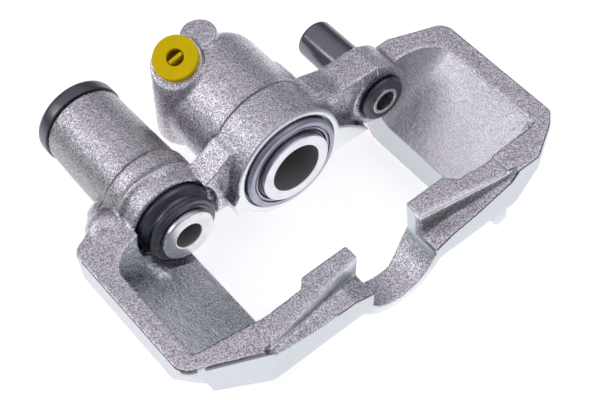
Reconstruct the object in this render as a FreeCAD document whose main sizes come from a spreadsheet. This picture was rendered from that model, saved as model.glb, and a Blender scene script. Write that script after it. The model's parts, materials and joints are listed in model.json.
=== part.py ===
import FreeCAD, Part
import math
import os
import re

import Sketcher

# Floating brake caliper of the frame type, without its carrier and pads.
# Origin: centre of the piston's open end face. -Y: the way the piston pushes, towards the fingers.
# +X: towards the short guide. +Z: radially inward, towards the disc's centre. Millimetres.

DIMS = {
    # frame
    "half_width": (103.5, "outer face of the left arm from the piston axis"),
    "right_width": (104.3, "outer face of the right arm from the piston axis"),
    "rim_z": (5.2, "top face of the frame"),
    "disc_z": (96.8, "height of the disc's centre over the piston axis"),
    "disc_clear": (131.5, "radius cleared for the disc, the pocket floor"),
    "belly_rad": (150.5, "outer radius of the bridge about the disc's centre"),
    "corner_left": (35, "length along X of the left outboard corner's slant"),
    "corner_right": (22, "length along X of the right outboard corner's slant"),
    "corner_rad": (8.5, "plan radius at the outer end of each corner's slant"),
    "beam_front": (70, "outboard face of the beam, in front of the origin"),
    "beam_inner": (54, "inboard face of the beam"),
    "beam_low": (17.8, "lower edge of the beam's outboard face, below the axis"),
    "belly_low": (41.5, "lowest face of the bridge, below the axis"),
    "window_half": (56.3, "half width of the window"),
    "pocket_end": (14.5, "inboard end of the disc pockets"),
    "pocket_rad": (13.5, "radius between the pockets' floor and their inboard end"),
    "pad_left": (49.6, "face of the left finger pad, in front of the origin"),
    "pad_right": (50, "face of the right finger pad, in front of the origin"),
    "notch_x": (2, "centre of the notch between the fingers"),
    "notch_z": (4, "depth of the notch centre below the piston axis"),
    "notch_rad": (21.5, "radius of the notch"),
    "notch_wall": (4.6, "thickness of the beam under the notch"),
    "arm_end_right": (27.8, "inboard end of the right arm"),
    "arm_end_left": (33.5, "inboard end of the left arm"),
    # cylinder
    "face_y": (4.5, "machined face round the boot"),
    "hub_rad": (28.9, "hub round the cylinder mouth"),
    "body_rad": (28.3, "cylinder body behind the parting line"),
    "parting_y": (27, "parting line across hub and web"),
    "body_end": (74, "closed end of the cylinder body"),
    "body_round": (9, "rounding of the closed end"),
    "bore_rad": (19.03, "cylinder bore"),
    "bore_end": (66, "bottom of the cylinder bore"),
    "boot_seat_rad": (25.6, "counterbore that holds the boot ring"),
    "boot_seat_end": (10, "bottom of the boot ring's counterbore"),
    "seal_y": (17, "front of the seal groove"),
    "seal_len": (4, "length of the seal groove"),
    "seal_rad": (22, "bottom of the seal groove"),
    # piston
    "piston_rad": (19, "piston outside"),
    "piston_lip": (18.25, "piston lip in front of the boot groove"),
    "piston_groove": (16.9, "bottom of the boot groove"),
    "piston_len": (58, "piston length"),
    "cup_rad": (12.8, "hollow of the piston"),
    "cup_len": (46, "depth of the piston's hollow"),
    # guides
    "guide_x": (57, "guide axes from the piston axis"),
    "guide_z": (4.5, "depth of the guide axes below the piston axis"),
    "sleeve_y": (5.4, "front faces of both guide sleeves"),
    "tube_rad": (20.4, "rear end of the long guide's tube"),
    "tube_root": (21.4, "long guide's tube at its collar"),
    "tube_end": (89.6, "rear face of the long guide's tube"),
    "collar_rad": (22.6, "collar at the root of the tube"),
    "collar_end": (41, "rear of the collar"),
    "tube_face": (21.5, "front face of the long guide's boss"),
    "tube_bore": (14.5, "bore of the long guide's tube"),
    "long_rad": (10.5, "long sleeve outside"),
    "long_bore": (6.6, "long sleeve bore"),
    "long_end": (82, "rear end of the long sleeve"),
    "short_rad": (7, "short sleeve outside"),
    "short_bore": (5.3, "short sleeve bore"),
    "short_end": (44, "rear end of the short sleeve"),
    "ear_face": (9.8, "front face of the short guide's ear"),
    "ear_rad": (16, "radius of the short guide's ear"),
    "ear_bore": (11, "bore of the ear, holds the rubber bush"),
    "slip": (0.03, "running gap between a sleeve and its rubber"),
    # hose port and bleed screw
    "port_x": (-15.2, "plan centre of the port boss"),
    "port_y": (65, "plan centre of the port boss"),
    "port_rad": (11.7, "radius of the port boss at its seat"),
    "port_root": (15.2, "radius of the port boss at its bottom"),
    "port_drop": (13.8, "bottom of the port boss, below the axis"),
    "seat_x": (-14.5, "centre of the port's seat face"),
    "seat_y": (65.8, "centre of the port's seat face"),
    "seat_z": (29.8, "centre of the port's seat face"),
    "port_hole": (5, "radius of the port"),
    "port_len": (15, "depth of the port"),
    "plug_rad": (10.8, "radius of the plug's flange"),
    "plug_thick": (3, "thickness of the plug's flange"),
    "bleed_x": (18, "axis of the bleed screw"),
    "bleed_y": (57, "axis of the bleed screw"),
    "bleed_boss": (8, "radius of the bleed screw's boss"),
    "bleed_face": (28.4, "end face of the bleed boss, below the axis"),
    "bleed_hole": (4, "radius of the bleed screw's hole"),
}

PORT_TILT = FreeCAD.Vector(-0.33, -0.25, 0.91)

doc = FreeCAD.newDocument("brake_caliper")
sheet = doc.addObject("Spreadsheet::Sheet", "Dimensions")
for row, (alias, (size, note)) in enumerate(DIMS.items(), start=1):
    sheet.set(f"A{row}", note)
    sheet.set(f"B{row}", str(size))
    sheet.setAlias(f"B{row}", alias)
doc.recompute()


def cell(formula):
    """The formula with every dimension's name written as a cell of the sheet."""
    def name(match):
        word = match.group()
        return f"Dimensions.{word}" if word in DIMS else word
    return re.sub(r"[a-z][a-z_]*", name, str(formula))


def number(formula):
    """The formula's value."""
    return float(sheet.evalExpression(cell(formula)))


def bind(obj, prop, formula):
    """Tie one property of an object to a formula on the sheet."""
    obj.setExpression(prop, cell(formula))


def move(obj, x="0", y="0", z="0"):
    """Tie an object's position to the sheet."""
    for axis, formula in zip("xyz", (x, y, z)):
        bind(obj, f"Placement.Base.{axis}", formula)


def turn_left(start, end, radius):
    """The arc from start to end that turns left, and its centre on the left of the chord."""
    chord = end - start
    half = chord.Length / 2
    left = FreeCAD.Vector(-chord.y, chord.x, 0).normalize()
    centre = (start + end) / 2 + left * math.sqrt(max(radius ** 2 - half ** 2, 0))
    first = math.atan2(start.y - centre.y, start.x - centre.x)
    last = math.atan2(end.y - centre.y, end.x - centre.x)
    circle = Part.Circle(centre, FreeCAD.Vector(0, 0, 1), radius)
    return Part.ArcOfCircle(circle, first, last)


def draw(sketch, path):
    """A closed outline. Each corner is (x, y), or (x, y, r) where an arc leaves it for the next corner.

    The arc turns left, or right where r is led by a minus sign. All are formulas on the sheet.
    """
    corners = [FreeCAD.Vector(number(p[0]), number(p[1]), 0) for p in path]
    ends = []
    for index, corner in enumerate(path):
        start = corners[index]
        end = corners[(index + 1) % len(path)]
        if len(corner) == 2:
            line = sketch.addGeometry(Part.LineSegment(start, end), False)
            ends.append((line, 1, 2))
            continue
        right = str(corner[2]).startswith("-")
        radius = str(corner[2]).lstrip("-")
        if right:
            arc = sketch.addGeometry(turn_left(end, start, number(radius)), False)
            ends.append((arc, 2, 1))
        else:
            arc = sketch.addGeometry(turn_left(start, end, number(radius)), False)
            ends.append((arc, 1, 2))
        rule = sketch.addConstraint(Sketcher.Constraint("Radius", arc, number(radius)))
        bind(sketch, f"Constraints[{rule}]", radius)
    for index, corner in enumerate(path):
        side, first, _ = ends[index]
        before, _, last = ends[index - 1]
        sketch.addConstraint(Sketcher.Constraint("Coincident", before, last, side, first))
        for kind, formula, value in (("DistanceX", corner[0], corners[index].x),
                                     ("DistanceY", corner[1], corners[index].y)):
            rule = sketch.addConstraint(Sketcher.Constraint(kind, -1, 1, side, first, value))
            bind(sketch, f"Constraints[{rule}]", formula)


# Turns that carry a sketch's own x and y to the part's axes.
PLANES = {
    "XY": FreeCAD.Rotation(),
    "XZ": FreeCAD.Rotation(FreeCAD.Vector(1, 0, 0), 90),
    "YZ": FreeCAD.Rotation(FreeCAD.Vector(1, 1, 1), 120),
}
ALONG = {"XY": (0, 0, 1), "XZ": (0, 1, 0), "YZ": (1, 0, 0)}


def prism(name, plane, path, low, high):
    """An outline on one of the three planes, extruded from low to high along the plane's axis."""
    sketch = doc.addObject("Sketcher::SketchObject", f"{name}_outline")
    sketch.Placement = FreeCAD.Placement(FreeCAD.Vector(), PLANES[plane])
    draw(sketch, path)
    solid = doc.addObject("Part::Extrusion", name)
    solid.Base = sketch
    solid.DirMode = "Custom"
    solid.Dir = FreeCAD.Vector(*ALONG[plane])
    solid.Solid = True
    bind(solid, "LengthFwd", high)
    bind(solid, "LengthRev", f"-({low})")
    return solid


def turned(name, path, x="0", z="0"):
    """An outline of (radius, y) corners turned about an axis along Y."""
    sketch = doc.addObject("Sketcher::SketchObject", f"{name}_outline")
    draw(sketch, path)
    solid = doc.addObject("Part::Revolution", name)
    solid.Source = sketch
    solid.Axis = FreeCAD.Vector(0, 1, 0)
    solid.Angle = 360
    solid.Solid = True
    move(solid, x=x, z=z)
    return solid


def rod(name, radius, low, high, x="0", z="0"):
    """A round bar along Y, from y = low to y = high."""
    return turned(name, [("0", low), (radius, low), (radius, high), ("0", high)], x, z)


def post(name, radius, x, y, low, high):
    """A round bar along Z, from z = low to z = high."""
    solid = doc.addObject("Part::Cylinder", name)
    bind(solid, "Radius", radius)
    bind(solid, "Height", f"({high}) - ({low})")
    move(solid, x, y, low)
    return solid


def pin(name, radius, start, end):
    """A round bar on the port's axis, between two distances from the seat face."""
    solid = doc.addObject("Part::Cylinder", name)
    bind(solid, "Radius", radius)
    bind(solid, "Height", f"({end}) - ({start})")
    solid.Placement.Rotation = FreeCAD.Rotation(FreeCAD.Vector(0, 0, 1), PORT_TILT)
    unit = FreeCAD.Vector(PORT_TILT).normalize()
    move(solid, *(f"seat_{axis} + ({start}) * {getattr(unit, axis):.6f}" for axis in "xyz"))
    return solid


def join(name, parts):
    solid = doc.addObject("Part::MultiFuse", name)
    solid.Refine = False
    solid.Shapes = parts
    return solid


def common(name, parts):
    solid = doc.addObject("Part::MultiCommon", name)
    solid.Refine = False
    solid.Shapes = parts
    return solid


def cut(name, base, tool):
    solid = doc.addObject("Part::Cut", name)
    solid.Refine = False
    solid.Base = base
    solid.Tool = tool
    return solid


def lathe_body(name, path, x="0", z="0"):
    """A turned piece as a PartDesign body: (radius, y) corners revolved about the body's Y axis."""
    body = doc.addObject("PartDesign::Body", name)
    sketch = body.newObject("Sketcher::SketchObject", f"{name}_profile")
    plane = [item for item in body.Origin.OriginFeatures if item.Role == "XY_Plane"][0]
    sketch.AttachmentSupport = [(plane, "")]
    sketch.MapMode = "FlatFace"
    draw(sketch, path)
    turn = body.newObject("PartDesign::Revolution", f"{name}_turn")
    turn.Profile = sketch
    turn.ReferenceAxis = (sketch, ["V_Axis"])
    turn.Angle = 360
    body.Tip = turn
    move(body, x=x, z=z)
    return body


def both_sides(path):
    """The path's mirror image in the YZ plane, walked the same way round."""
    return [(f"-({x})", y) for x, y in reversed(path)]


def make_frame():
    """The bridge: two arms round the disc's edge, and the outboard beam with its two fingers."""
    plan = prism("frame_plan", "XY", [
        ("corner_left - half_width", "-beam_front"),
        ("right_width - corner_right", "-beam_front"),
        ("right_width - 3.8", "-58.8", "corner_rad"),
        ("right_width", "-52"),
        ("right_width", "arm_end_right - 17.8", "9"),
        ("right_width - 6.5", "arm_end_right - 8.2"),
        ("right_width - 27", "arm_end_right"),
        ("0", "arm_end_right"),
        ("20 - half_width", "arm_end_left"),
        ("16 - half_width", "arm_end_left"),
        ("5 - half_width", "arm_end_left - 5.2", "7"),
        ("-half_width", "arm_end_left - 11"),
        ("-half_width", "-48.4", "corner_rad"),
        ("4.6 - half_width", "-55.7"),
    ], "-60", "rim_z")
    front = prism("frame_front", "XZ", [
        ("-half_width", "rim_z"),
        ("-half_width", "-11.5"),
        ("1 - half_width", "disc_z - sqrt(belly_rad ^ 2 - (half_width - 1) ^ 2)", "belly_rad"),
        ("right_width - 1", "disc_z - sqrt(belly_rad ^ 2 - (right_width - 1) ^ 2)"),
        ("right_width", "-10.5"),
        ("right_width", "rim_z"),
    ], "-beam_front", "40")
    side = prism("frame_side", "YZ", [
        ("-beam_front", "rim_z"),
        ("-beam_front", "-beam_low"),
        ("16 - beam_front", "-beam_low - 20"),
        ("24 - beam_front", "-belly_low"),
        ("16", "-belly_low"),
        ("arm_end_right", "-27"),
        ("arm_end_left", "-16"),
        ("arm_end_left", "rim_z"),
    ], "-half_width", "right_width")
    belly = common("belly", [
        rod("belly_round", "notch_rad + notch_wall", "-beam_front", "-beam_inner", "notch_x", "-notch_z"),
        prism("belly_half", "XZ", [("-40", "-50"), ("40", "-50"), ("40", "-notch_z"), ("-40", "-notch_z")],
              "-beam_front", "0"),
    ])
    lug = prism("beam_lug", "XZ", [("57.5", "-26"), ("64", "-25"), ("64", "-14"), ("57.5", "-14")],
                "-beam_front", "-62")
    block = common("frame_hull", [plan, front, side])
    for tool in make_undercuts():
        block = cut(f"frame_less_{tool.Name}", block, tool)
    solid = join("frame_solid", [block, belly, lug])
    return cut("frame", solid, join("frame_cuts", make_pockets() + make_window() + make_ledges()))


def half_space(name, point, away):
    """A large box on the side of point that away points to."""
    turn = FreeCAD.Rotation(FreeCAD.Vector(0, 0, 1), FreeCAD.Vector(*away))
    box = doc.addObject("Part::Box", name)
    box.Length = 160
    box.Width = 160
    box.Height = 60
    corner = FreeCAD.Vector(*point) + turn.multVec(FreeCAD.Vector(-80, -80, 0))
    box.Placement = FreeCAD.Placement(corner, turn)
    return box


def make_undercuts():
    """Below each outboard corner: the slope under the skirt, and the recess beyond the skirt's end."""
    slopes = {
        "left": ((-66.8, -70, -19.8), (-0.404, -0.669, -0.623)),
        "right": ((69, -70, -17.8), (0.574, -0.819, -0.517)),
    }
    recesses = {
        "left": ((-87.7, -70, 4.5), (-0.707, -0.707, -0.43), (-92.5, -58, -16), (-0.863, 0.432, -0.259)),
        "right": ((87.7, -70, 3), (0.707, -0.707, -0.43), (92.5, -58, -16), (0.863, 0.432, -0.259)),
    }
    tools = [half_space(f"skirt_slope_{side}", *plane) for side, plane in slopes.items()]
    for side, (roof, roof_away, end, end_away) in recesses.items():
        tools.append(common(f"corner_recess_{side}", [
            half_space(f"recess_roof_{side}", roof, roof_away),
            half_space(f"recess_end_{side}", end, end_away),
        ]))
    return tools


def make_pockets():
    """The space swept by the disc's edge. Its floor turns up into the arms at the inboard end."""
    disc = turned("disc_space", [
        ("0", "-60"),
        ("disc_clear", "-60"),
        ("disc_clear", "pocket_end - pocket_rad", "pocket_rad"),
        ("disc_clear - pocket_rad", "pocket_end"),
        ("0", "pocket_end"),
    ], "0", "disc_z")
    plan = prism("pocket_plan", "XY", [
        ("-91.9", "4 - beam_inner"),
        ("-20", "-beam_inner - 5.5"),
        ("20", "-beam_inner - 3"),
        ("91", "-beam_inner - 1", "5.5"),
        ("96.3", "4 - beam_inner"),
        ("96.3", "20"),
        ("-95.5", "20"),
        ("-95.5", "7.5 - beam_inner", "4"),
    ], "-60", "20")
    clear = prism("finger_clear", "XZ", [
        ("-window_half", "-60"),
        ("-window_half", "20"),
        ("window_half", "20"),
        ("window_half", "-60"),
    ], "-60", "pocket_end")
    return [cut("pockets", common("pocket_space", [disc, plan]), clear)]


def make_window():
    """The window between the arms, with the finger pads standing into it, and the notch."""
    window = prism("window", "XY", [
        ("-window_half", "-beam_inner"),
        ("-40.5", "-beam_inner"),
        ("-36.5", "-pad_left"),
        ("-11.5", "-pad_left"),
        ("-8", "-beam_inner"),
        ("7", "-beam_inner"),
        ("18", "-pad_right"),
        ("43", "-pad_right"),
        ("47.5", "-beam_inner - 1"),
        ("window_half", "-beam_inner - 1.6"),
        ("window_half", "45"),
        ("-window_half", "45"),
    ], "-70", "20")
    notch = prism("notch", "XZ", [
        ("-12", "rim_z + 1"),
        ("-14.5", "-notch_z - 13"),
        ("notch_x - 14", "-notch_z - sqrt(notch_rad ^ 2 - 14 ^ 2)", "notch_rad"),
        ("notch_x + sqrt(notch_rad ^ 2 - 8 ^ 2)", "-notch_z - 8"),
        ("notch_x + notch_rad - 2", "rim_z + 1"),
    ], "-beam_front - 1", "-40")
    return [window, notch]


def make_ledges():
    """The steps in the beam's top: a low ledge in front of each finger, and the beam a little below
    the corners."""
    lows = []
    ledges = {
        "left": [("-72", "rim_z + 1"), ("-67", "0.6"), ("-46", "-3.2"), ("-24", "-4.4"), ("-10", "-9"),
                 ("-10", "rim_z + 1")],
        "right": [("15", "rim_z + 1"), ("15", "-12"), ("24", "-9.4"), ("33", "-6.4"), ("46", "-4.6"),
                  ("67", "0.6"), ("72", "rim_z + 1")],
    }
    plan = [("11", "-57.2"), ("72", "-67.6"), ("72", "-beam_front - 1"), ("11", "-beam_front - 1")]
    plans = {"left": both_sides(plan), "right": plan}
    for side, path in ledges.items():
        height = prism(f"ledge_{side}", "XZ", path, "-beam_front - 1", "0")
        across = prism(f"ledge_plan_{side}", "XY", plans[side], "-20", "20")
        lows.append(common(f"low_{side}", [height, across]))
    step = [("44", "rim_z + 1"), ("44", "rim_z"), ("66", "rim_z - 1.7"), ("67", "rim_z + 1")]
    steps = {"left": both_sides(step), "right": step}
    for side, path in steps.items():
        lows.append(prism(f"step_{side}", "XZ", path, "-beam_front - 1", "-40"))
    return lows


def make_web():
    """The plate that joins the cylinder to both guides, and the guides' own bosses."""
    plate = prism("web", "XZ", [
        ("-44", "-14"),
        ("-20", "-14"),
        ("24", "-16"),
        ("50", "-18.5"),
        ("66", "-18.5"),
        ("69.5", "4"),
        ("67", "9.5"),
        ("62.5", "13"),
        ("57", "15.8"),
        ("36", "16.6"),
        ("24", "20.9"),
        ("0", "20"),
        ("-25", "18.5"),
        ("-33", "13"),
        ("-40", "10"),
        ("-50", "10"),
    ], "13", "parting_y")
    ridge = prism("web_ridge", "XZ", [
        ("18", "12"),
        ("44", "10"),
        ("52", "8"),
        ("69.5", "4"),
        ("67", "9.5"),
        ("62.5", "13"),
        ("57", "15.8"),
        ("36", "16.6"),
        ("20", "21.5"),
    ], "ear_face", "parting_y")
    strip = prism("web_strip", "XZ", [
        ("-31", "-13.6"),
        ("26", "-13.6"),
        ("46", "-15"),
        ("44", "-12"),
        ("35", "-3"),
        ("28", "2"),
        ("-27", "3"),
        ("-32.5", "-5"),
    ], "face_y", "parting_y")
    ear = rod("ear", "ear_rad", "ear_face", "parting_y", "guide_x", "-guide_z")
    tube = turned("tube", [
        ("0", "tube_face"),
        ("collar_rad - 2", "tube_face", "4"),
        ("collar_rad", "tube_face + 3"),
        ("collar_rad", "collar_end - 1"),
        ("collar_rad - 1", "collar_end"),
        ("tube_root", "collar_end"),
        ("tube_rad", "tube_end - 1"),
        ("tube_rad - 1", "tube_end"),
        ("0", "tube_end"),
    ], "-guide_x", "-guide_z")
    return [plate, ridge, strip, ear, tube]


def make_cylinder():
    """The hub, the cylinder body with its closed end, and the bosses that stand on it."""
    hub = rod("hub", "hub_rad", "face_y", "parting_y")
    body = turned("body", [
        ("0", "parting_y - 5"),
        ("body_rad", "parting_y - 5"),
        ("body_rad", "body_end - body_round", "body_round"),
        ("body_rad - body_round", "body_end"),
        ("0", "body_end"),
    ])
    port = doc.addObject("Part::Cone", "port_boss")
    bind(port, "Radius1", "port_root")
    bind(port, "Radius2", "port_rad")
    bind(port, "Height", "seat_z + port_drop + 6")
    move(port, "port_x", "port_y", "-port_drop")
    lobe = post("rear_lobe", "8.6", "2.4", "71.8", "-12", "30.2")
    rib = turned("side_rib", [
        ("0", "parting_y - 5"),
        ("10.5", "parting_y - 5"),
        ("10.5", "55", "8"),
        ("2.5", "63"),
        ("0", "63"),
    ], "25", "-8")
    bleed = post("bleed_post", "bleed_boss", "bleed_x", "bleed_y", "-bleed_face", "-5")
    bosses = join("bosses", [port, lobe, bleed])
    return [hub, body, rib, cut("bosses_cut", bosses, pin("seat_space", "26", "0", "60"))]


def make_bores():
    """Everything machined into the casting."""
    cylinder = turned("cylinder_bore", [
        ("0", "-5"),
        ("boot_seat_rad", "-5"),
        ("boot_seat_rad", "boot_seat_end"),
        ("seal_rad + 0.4", "boot_seat_end"),
        ("seal_rad + 0.4", "boot_seat_end + 3"),
        ("bore_rad + 0.6", "boot_seat_end + 3"),
        ("bore_rad", "boot_seat_end + 3.6"),
        ("bore_rad", "seal_y"),
        ("seal_rad", "seal_y"),
        ("seal_rad", "seal_y + seal_len"),
        ("bore_rad", "seal_y + seal_len"),
        ("bore_rad", "bore_end - 1"),
        ("bore_rad - 1", "bore_end"),
        ("0", "bore_end"),
    ])
    long_bore = turned("long_guide_bore", [
        ("0", "3.5"),
        ("17.2", "3.5"),
        ("17.2", "10.5"),
        ("21.6", "10.5"),
        ("21.6", "tube_face"),
        ("17.5", "tube_face"),
        ("17.5", "tube_face + 2.5"),
        ("tube_bore", "tube_face + 2.5"),
        ("tube_bore", "tube_end + 1"),
        ("0", "tube_end + 1"),
    ], "-guide_x", "-guide_z")
    short_bore = rod("short_guide_bore", "ear_bore", "0", "parting_y + 5", "guide_x", "-guide_z")
    port = pin("port_bore", "port_hole", "-port_len", "1")
    bleed = post("bleed_bore", "bleed_hole", "bleed_x", "bleed_y", "-bleed_face - 1", "-17")
    bleed_feed = post("bleed_feed", "1.5", "bleed_x", "bleed_y", "-18", "-3")
    return [cylinder, long_bore, short_bore, port, bleed, bleed_feed, make_feed()]


def make_feed():
    """The drilling from the bottom of the hose port to the cylinder."""
    unit = FreeCAD.Vector(PORT_TILT).normalize()
    seat = FreeCAD.Vector(number("seat_x"), number("seat_y"), number("seat_z"))
    start = seat - unit * (number("port_len") - 3)
    end = FreeCAD.Vector(number("port_x") + 8, number("bore_end") - 4, number("bore_rad") - 8)
    feed = doc.addObject("Part::Cylinder", "feed_hole")
    feed.Radius = 1.8
    feed.Height = (end - start).Length
    feed.Placement = FreeCAD.Placement(start, FreeCAD.Rotation(FreeCAD.Vector(0, 0, 1), end - start))
    return feed


def make_housing():
    casting = join("casting", [make_frame()] + make_web() + make_cylinder())
    return cut("caliper_housing", casting, join("machining", make_bores()))


def make_piston():
    return lathe_body("piston", [
        ("0", "cup_len"),
        ("cup_rad - 1.5", "cup_len"),
        ("cup_rad", "cup_len - 1.5"),
        ("cup_rad", "0.6"),
        ("cup_rad + 0.6", "0"),
        ("piston_lip - 0.6", "0"),
        ("piston_lip", "0.6"),
        ("piston_lip", "3.2"),
        ("piston_groove", "3.2"),
        ("piston_groove", "6.4"),
        ("piston_rad - 0.4", "6.4"),
        ("piston_rad", "6.8"),
        ("piston_rad", "piston_len - 1.2"),
        ("piston_rad - 1.2", "piston_len"),
        ("0", "piston_len"),
    ])


def make_cylinder_rubber():
    """The square seal in its groove, the boot, and the steel ring that holds the boot in its seat."""
    seal = lathe_body("piston_seal", [
        ("piston_rad + slip", "seal_y + 0.2"),
        ("seal_rad - 0.1", "seal_y + 0.2"),
        ("seal_rad - 0.1", "seal_y + seal_len - 0.2"),
        ("piston_rad + slip", "seal_y + seal_len - 0.2"),
    ])
    ring = lathe_body("piston_boot_ring", [
        ("21.1", "2.5"),
        ("boot_seat_rad - 1.1", "2.5"),
        ("boot_seat_rad - 0.05", "face_y - 0.2"),
        ("boot_seat_rad - 0.05", "boot_seat_end - 0.1"),
        ("boot_seat_rad - 1.4", "boot_seat_end - 0.1"),
        ("boot_seat_rad - 1.4", "4.1"),
        ("21.1", "4.1"),
    ])
    boot = lathe_body("piston_boot", [
        ("piston_groove + 0.05", "3.6"),
        ("18.6", "3.6"),
        ("19.5", "3.1", "-0.8"),
        ("20.5", "3.1"),
        ("20.8", "4.2"),
        ("24.1", "4.2"),
        ("24.1", "6"),
        ("20.6", "6"),
        ("19.9", "4.6"),
        ("18.7", "5"),
        ("18.7", "6.1"),
        ("piston_groove + 0.05", "6.1"),
    ])
    return [seal, ring, boot]


def make_long_guide():
    axis = ("-guide_x", "-guide_z")
    sleeve = lathe_body("long_guide_sleeve", [
        ("long_bore", "sleeve_y + 0.8"),
        ("long_bore + 0.8", "sleeve_y"),
        ("12.8", "sleeve_y"),
        ("13.4", "sleeve_y + 0.6"),
        ("13.4", "sleeve_y + 2.6"),
        ("11.2", "sleeve_y + 2.6"),
        ("11.2", "sleeve_y + 5.6"),
        ("long_rad", "sleeve_y + 5.6"),
        ("long_rad", "long_end - 0.8"),
        ("long_rad - 0.8", "long_end"),
        ("long_bore", "long_end"),
    ], *axis)
    bellows = lathe_body("long_guide_bellows", [
        ("11.25", "8.3"),
        ("15.6", "8.3"),
        ("16.2", "9.8"),
        ("15.4", "11"),
        ("18.6", "11.8", "1.3"),
        ("19.4", "13.6"),
        ("17", "15.2"),
        ("17", "16"),
        ("20.4", "17.6", "1.6"),
        ("20.4", "20.6"),
        ("17.2", "tube_face"),
        ("17.2", "tube_face + 2.3"),
        ("15.4", "tube_face + 2.3"),
        ("15.4", "tube_face - 0.6"),
        ("18", "19.6"),
        ("18", "18.4"),
        ("15.4", "16.4"),
        ("15.4", "14.6"),
        ("17.6", "13.4"),
        ("17", "12.9"),
        ("13.4", "12"),
        ("13", "10.8"),
        ("11.25", "10.8"),
    ], *axis)
    bushes = []
    for name, low, high in (("long_guide_front_bush", "tube_face + 3", "tube_face + 22"),
                            ("long_guide_rear_bush", "66", "84")):
        bushes.append(lathe_body(name, [
            ("long_rad + slip", f"{low} + 0.5"),
            ("long_rad + slip + 0.5", low),
            ("tube_bore - 0.6", low),
            ("tube_bore - 0.02", f"{low} + 0.6"),
            ("tube_bore - 0.02", f"{high} - 0.6"),
            ("tube_bore - 0.6", high),
            ("long_rad + slip + 0.5", high),
            ("long_rad + slip", f"{high} - 0.5"),
        ], *axis))
    cap = lathe_body("long_guide_rear_cap", [
        ("0", "tube_end + 4.6"),
        ("12", "tube_end + 4.6"),
        ("12", "tube_end - 4"),
        ("tube_bore - 0.55", "tube_end - 4"),
        ("tube_bore - 0.05", "tube_end - 3.2"),
        ("tube_bore - 0.05", "tube_end + 0.05"),
        ("tube_rad + 0.8", "tube_end + 0.05"),
        ("tube_rad + 0.8", "tube_end + 4.6", "3.2"),
        ("tube_rad - 2.4", "tube_end + 7.8"),
        ("0", "tube_end + 7.8"),
    ], *axis)
    return [sleeve, bellows] + bushes + [cap]


def make_short_guide():
    axis = ("guide_x", "-guide_z")
    sleeve = lathe_body("short_guide_sleeve", [
        ("short_bore", "sleeve_y + 0.5"),
        ("short_bore + 0.5", "sleeve_y"),
        ("short_rad - 0.4", "sleeve_y"),
        ("short_rad", "sleeve_y + 0.4"),
        ("short_rad", "short_end - 0.6"),
        ("short_rad - 0.6", "short_end"),
        ("short_bore", "short_end"),
    ], *axis)
    bush = lathe_body("short_guide_bush", [
        ("short_rad + slip", "6.4"),
        ("10.9", "6.4"),
        ("11.9", "7.4"),
        ("11.9", "8.4"),
        ("10.2", "8.8"),
        ("10.2", "ear_face - 0.6"),
        ("12.6", "ear_face - 0.4"),
        ("12.6", "ear_face - 0.02"),
        ("ear_bore - 0.02", "ear_face - 0.02"),
        ("ear_bore - 0.02", "parting_y + 0.1"),
        ("8.6", "parting_y + 0.1"),
        ("8.2", "parting_y + 8"),
        ("7.6", "parting_y + 9"),
        ("short_rad + slip", "parting_y + 9"),
    ], *axis)
    cap = lathe_body("short_guide_rear_cap", [
        ("0", "57.8"),
        ("8.3", "57.8"),
        ("8.65", "parting_y + 0.2"),
        ("10.9", "parting_y + 0.2"),
        ("10.9", "parting_y + 1.2"),
        ("10.1", "parting_y + 4"),
        ("9.8", "56.4", "3"),
        ("6.8", "59.4"),
        ("0", "59.4"),
    ], *axis)
    return [sleeve, bush, cap]


def make_port_plug():
    """The plug that closes the hose port: a flange, a slot-ended post in its hollow centre, a stem."""
    flange = join("plug_solid", [
        pin("plug_flange", "plug_rad", "0.05", "plug_thick"),
        pin("plug_stem", "port_hole - 0.05", "-9", "plug_thick / 2"),
    ])
    hollow = cut("plug_hollow", flange, pin("plug_hole", "4.2", "-6", "plug_thick + 1"))
    bar = doc.addObject("Part::Box", "plug_bar")
    bar.Length = 8.6
    bar.Width = 1.8
    bind(bar, "Height", "6.5 + plug_thick - 1")
    spin = FreeCAD.Rotation(FreeCAD.Vector(0, 0, 1), PORT_TILT)
    spin = spin.multiply(FreeCAD.Rotation(FreeCAD.Vector(0, 0, 1), -3))
    corner = spin.multVec(FreeCAD.Vector(-4.3, -0.9, -6.5))
    bar.Placement.Rotation = spin
    move(bar, *(f"seat_{axis} + {getattr(corner, axis):.6f}" for axis in "xyz"))
    return join("hose_port_plug", [hollow, bar])


def make_bleed_screw():
    """The bleed screw in its boss, head down, and the rubber cap on its nipple."""
    place = ("bleed_x", "bleed_y")
    stem = post("bleed_stem", "bleed_hole - 0.05", *place, "-bleed_face", "-20")
    tip = doc.addObject("Part::Cone", "bleed_tip")
    bind(tip, "Radius1", "bleed_hole - 0.05")
    tip.Radius2 = 1.6
    tip.Height = 2.2
    move(tip, *place, "-20")
    head = doc.addObject("Part::Prism", "bleed_hex")
    head.Polygon = 6
    head.Circumradius = 5.2
    head.Height = 4.5
    move(head, *place, "-bleed_face - 4.8")
    neck = post("bleed_neck", "2.6", *place, "-bleed_face - 9.5", "-bleed_face - 4")
    shank = post("bleed_shank", "3.6", *place, "-bleed_face - 1", "-bleed_face + 1")
    lip = post("bleed_lip", "3.4", *place, "-bleed_face - 10.8", "-bleed_face - 8.6")
    bore = post("bleed_drill", "1.1", *place, "-bleed_face - 12", "-24")
    solid = join("bleed_solid", [stem, tip, head, neck, shank, lip])
    screw = cut("bleed_screw", solid, bore)
    outer = join("bleed_cap_outer", [
        post("cap_round", "4.7", *place, "-bleed_face - 13", "-bleed_face - 5"),
        post("cap_rim", "5.2", *place, "-bleed_face - 7.2", "-bleed_face - 5"),
    ])
    inner = post("bleed_cap_inner", "3.5", *place, "-bleed_face - 11.2", "-bleed_face - 4")
    return [screw, cut("bleed_screw_cap", outer, inner)]


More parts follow.
